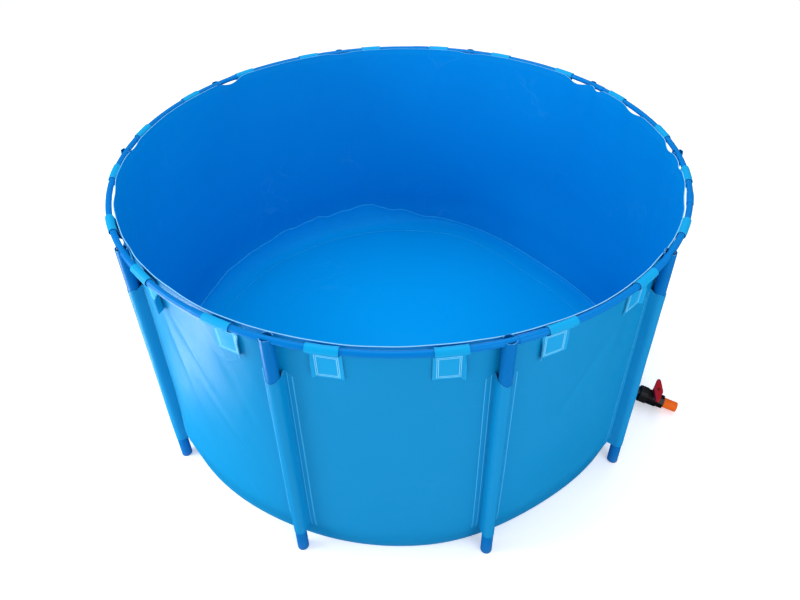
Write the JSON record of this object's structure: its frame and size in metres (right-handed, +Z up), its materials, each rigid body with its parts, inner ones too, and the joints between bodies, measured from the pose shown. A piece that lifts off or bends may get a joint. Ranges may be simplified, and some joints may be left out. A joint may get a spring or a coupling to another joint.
{
  "type": "collapsible livestock water tank",
  "caption": "Round open-topped fabric water tank hung in a steel tube ring on vertical legs, with a ball-valve drain near the floor.",
  "frame": {"origin": "on the ground at the tank's axis", "axes": "+Z up, +X through the drain valve"},
  "size_m": [2.177, 2.0426, 0.9959],
  "materials": {
    "ring_paint": "powder coat, satin",
    "leg_paint": "powder coat, satin",
    "foot_plastic": "moulded, matt",
    "liner_outside": "coated tarpaulin, semi-gloss",
    "liner_inside": "coated tarpaulin, semi-gloss",
    "strap_fabric": "coated tarpaulin, semi-gloss",
    "seal_rubber": "moulded rubber",
    "seat_plastic": "white fluoropolymer",
    "ball_plastic": "polished",
    "handle_plastic": "moulded",
    "screw_steel": "zinc plated",
    "stub_plastic": "extruded pipe",
    "valve_plastic": "moulded"
  },
  "bodies": {
    "tank": {"drain_connector": "valve_plastic", "drain_patch": "liner_outside", "floor_seam_band": "liner_inside", "foot_plugs": "foot_plastic", "hanging_straps": "strap_fabric", "inlet_seat": "seat_plastic", "inner_gasket": "seal_rubber", "leg_1": "leg_paint", "leg_10": "leg_paint", "leg_2": "leg_paint", "leg_3": "leg_paint", "leg_4": "leg_paint", "leg_5": "leg_paint", "leg_6": "leg_paint", "leg_7": "leg_paint", "leg_8": "leg_paint", "leg_9": "leg_paint", "liner_floor": "liner_inside", "liner_wall": "liner_outside", "lock_nut": "valve_plastic", "outer_gasket": "seal_rubber", "outlet_seat": "seat_plastic", "outlet_stub": "stub_plastic", "pole_pocket_1": "liner_outside", "pole_pocket_10": "liner_outside", "pole_pocket_2": "liner_outside", "pole_pocket_3": "liner_outside", "pole_pocket_4": "liner_outside", "pole_pocket_5": "liner_outside", "pole_pocket_6": "liner_outside", "pole_pocket_7": "liner_outside", "pole_pocket_8": "liner_outside", "pole_pocket_9": "liner_outside", "ring_arc_1": "ring_paint", "ring_arc_2": "ring_paint", "ring_arc_3": "ring_paint", "ring_arc_4": "ring_paint", "ring_arc_5": "ring_paint", "ring_arc_6": "ring_paint", "ring_arc_7": "ring_paint", "seat_retainer": "valve_plastic", "top_hem": "liner_inside", "union_end": "valve_plastic", "union_nut": "valve_plastic", "union_o_ring": "seal_rubber", "valve_body": "valve_plastic"},
    "valve_handle": {"handle": "handle_plastic", "handle_screw": "screw_steel", "stem": "valve_plastic", "stem_o_rings": "seal_rubber", "ball": "ball_plastic"}
  },
  "joints": [
    {"name": "valve_turn", "type": "hinge", "parent": "tank", "child": "valve_handle", "pos_m": [1.07092, 0, 0.04645], "axis": [0.2161, 0, 0.9764], "range_deg": [0, 90]}
  ]
}
